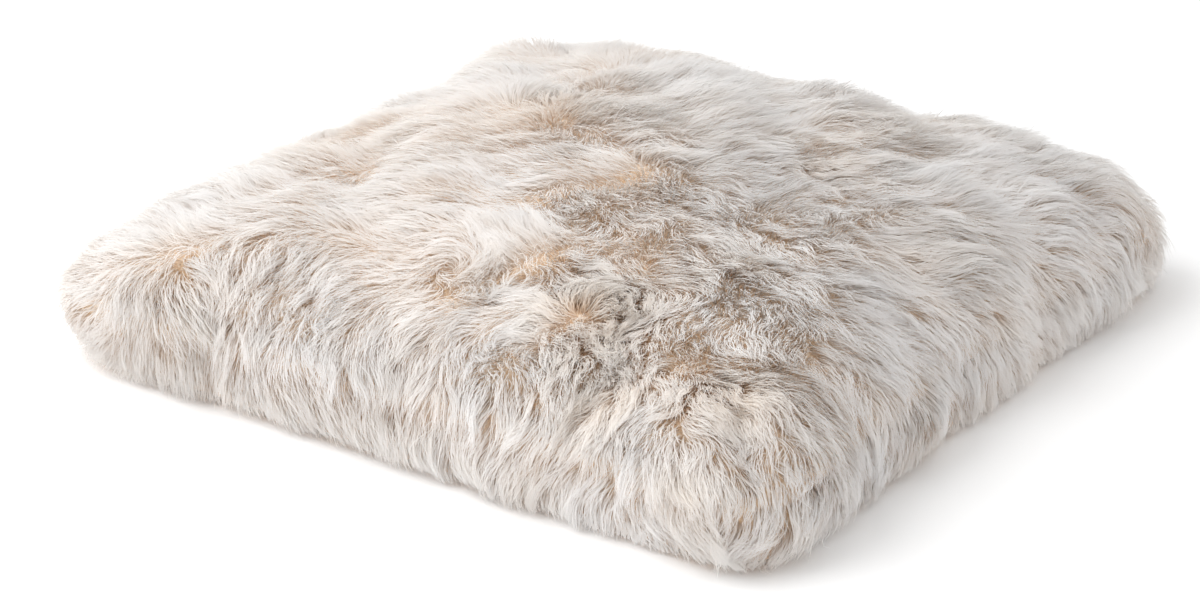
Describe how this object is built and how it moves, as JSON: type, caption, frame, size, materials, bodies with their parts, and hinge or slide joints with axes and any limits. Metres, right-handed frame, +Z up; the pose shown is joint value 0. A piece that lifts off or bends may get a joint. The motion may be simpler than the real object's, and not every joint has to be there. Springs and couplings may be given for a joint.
{
  "type": "pet cushion bed",
  "caption": "Square floor cushion bed covered in long sheepskin wool, with crowned top, suede base, zipped back edge and removable fibre-filled pad.",
  "frame": {"origin": "centre of the base, where it lies on the floor", "axes": "+Z up, +Y towards the zipped back edge, +X to the right seen from the front"},
  "size_m": [0.899, 0.899, 0.233],
  "materials": {
    "wool": "long combed sheep's wool, ivory with beige undertones",
    "sheepskin": "tanned skin side, matt suede nap",
    "base_suede": "suede, beige grey",
    "hem_suede": "suede, beige grey, stitched",
    "zip_tape": "woven polyester tape",
    "zip_coil": "nylon coil",
    "zip_metal": "enamelled zinc alloy",
    "pad_cotton": "plain cotton weave",
    "pad_fibre": "loose hollow polyester fibre"
  },
  "bodies": {
    "cushion": {"pelt_front_left": "sheepskin", "pelt_front_right": "sheepskin", "pelt_back_left": "sheepskin", "pelt_back_right": "sheepskin", "wool_front_left": "wool", "wool_front_right": "wool", "wool_back_left": "wool", "wool_back_right": "wool", "side_skin_front": "sheepskin", "side_skin_back": "sheepskin", "side_skin_left": "sheepskin", "side_skin_right": "sheepskin", "side_wool_front": "wool", "side_wool_back": "wool", "side_wool_left": "wool", "side_wool_right": "wool", "base_panel": "base_suede", "hem_band": "hem_suede", "zip_tape_upper": "zip_tape", "zip_tape_lower": "zip_tape", "zip_coil_upper": "zip_coil", "zip_coil_lower": "zip_coil", "zip_top_stops": "zip_metal", "zip_bottom_stop": "zip_metal", "pad_casing_top": "pad_cotton", "pad_casing_bottom": "pad_cotton", "pad_fill": "pad_fibre"},
    "zip_slider": {"zip_slider": "zip_metal"},
    "zip_pull": {"zip_pull": "zip_metal"}
  },
  "joints": [
    {"name": "zip_run", "type": "slide", "parent": "cushion", "child": "zip_slider", "axis": [-1, 0, 0], "range_m": [0, 0.636]},
    {"name": "pull_swing", "type": "hinge", "parent": "zip_slider", "child": "zip_pull", "pos_m": [0.32, 0.41052, 0.014], "axis": [0, 0, -1], "range_deg": [0, 170]}
  ]
}
